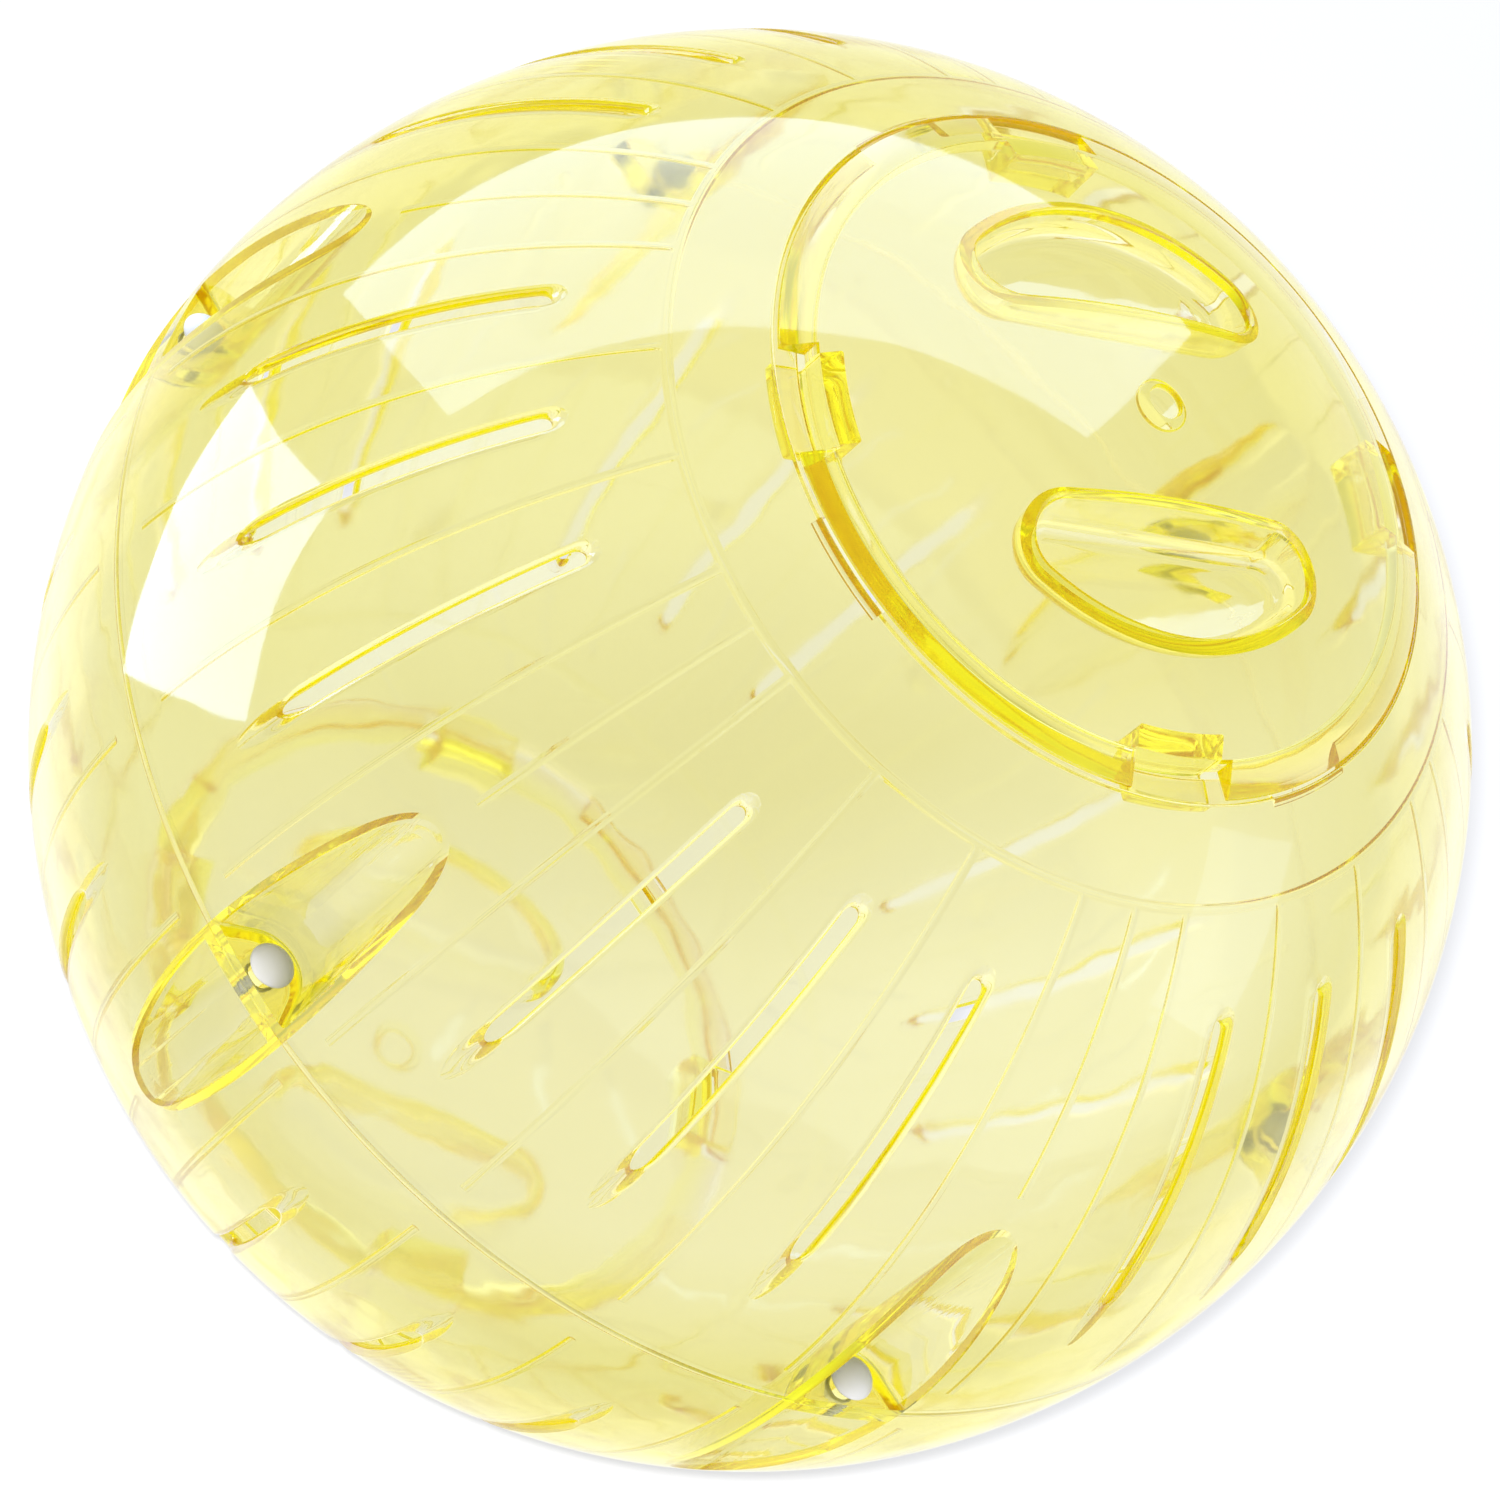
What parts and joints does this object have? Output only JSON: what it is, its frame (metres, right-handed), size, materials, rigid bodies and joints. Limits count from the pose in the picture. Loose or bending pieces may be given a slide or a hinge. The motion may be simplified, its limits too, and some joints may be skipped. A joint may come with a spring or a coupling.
{
  "type": "hamster ball",
  "caption": "Transparent yellow exercise ball for a small pet: moulded halves riveted at the seam, with air slots all round and a twist-lock door lid at each pole.",
  "frame": {"origin": "centre of the ball, where the seam plane meets the axis of the two doors", "axes": "+Z along the axis of the doors, towards the upper lid; +X through a lug of the upper lid; +Y across its finger recesses"},
  "size_m": [0.18, 0.18, 0.18],
  "materials": {
    "clear_yellow_plastic": "polished moulded transparent polystyrene",
    "white_plastic": "satin moulded nylon"
  },
  "bodies": {
    "ball": {"upper_half": "clear_yellow_plastic", "lower_half": "clear_yellow_plastic", "rivet_1": "white_plastic", "rivet_2": "white_plastic", "rivet_3": "white_plastic", "rivet_4": "white_plastic", "rivet_5": "white_plastic", "rivet_6": "white_plastic"},
    "upper_door": {"upper_lid": "clear_yellow_plastic"},
    "lower_door": {"lower_lid": "clear_yellow_plastic"}
  },
  "joints": [
    {"name": "upper_lid_twist", "type": "hinge", "parent": "ball", "child": "upper_door", "pos_m": [0, 0, 0.078], "axis": [0, 0, 1], "range_deg": [0, 27]},
    {"name": "lower_lid_twist", "type": "hinge", "parent": "ball", "child": "lower_door", "pos_m": [0, 0, -0.078], "axis": [0, 0, -1], "range_deg": [-10, 17]}
  ]
}
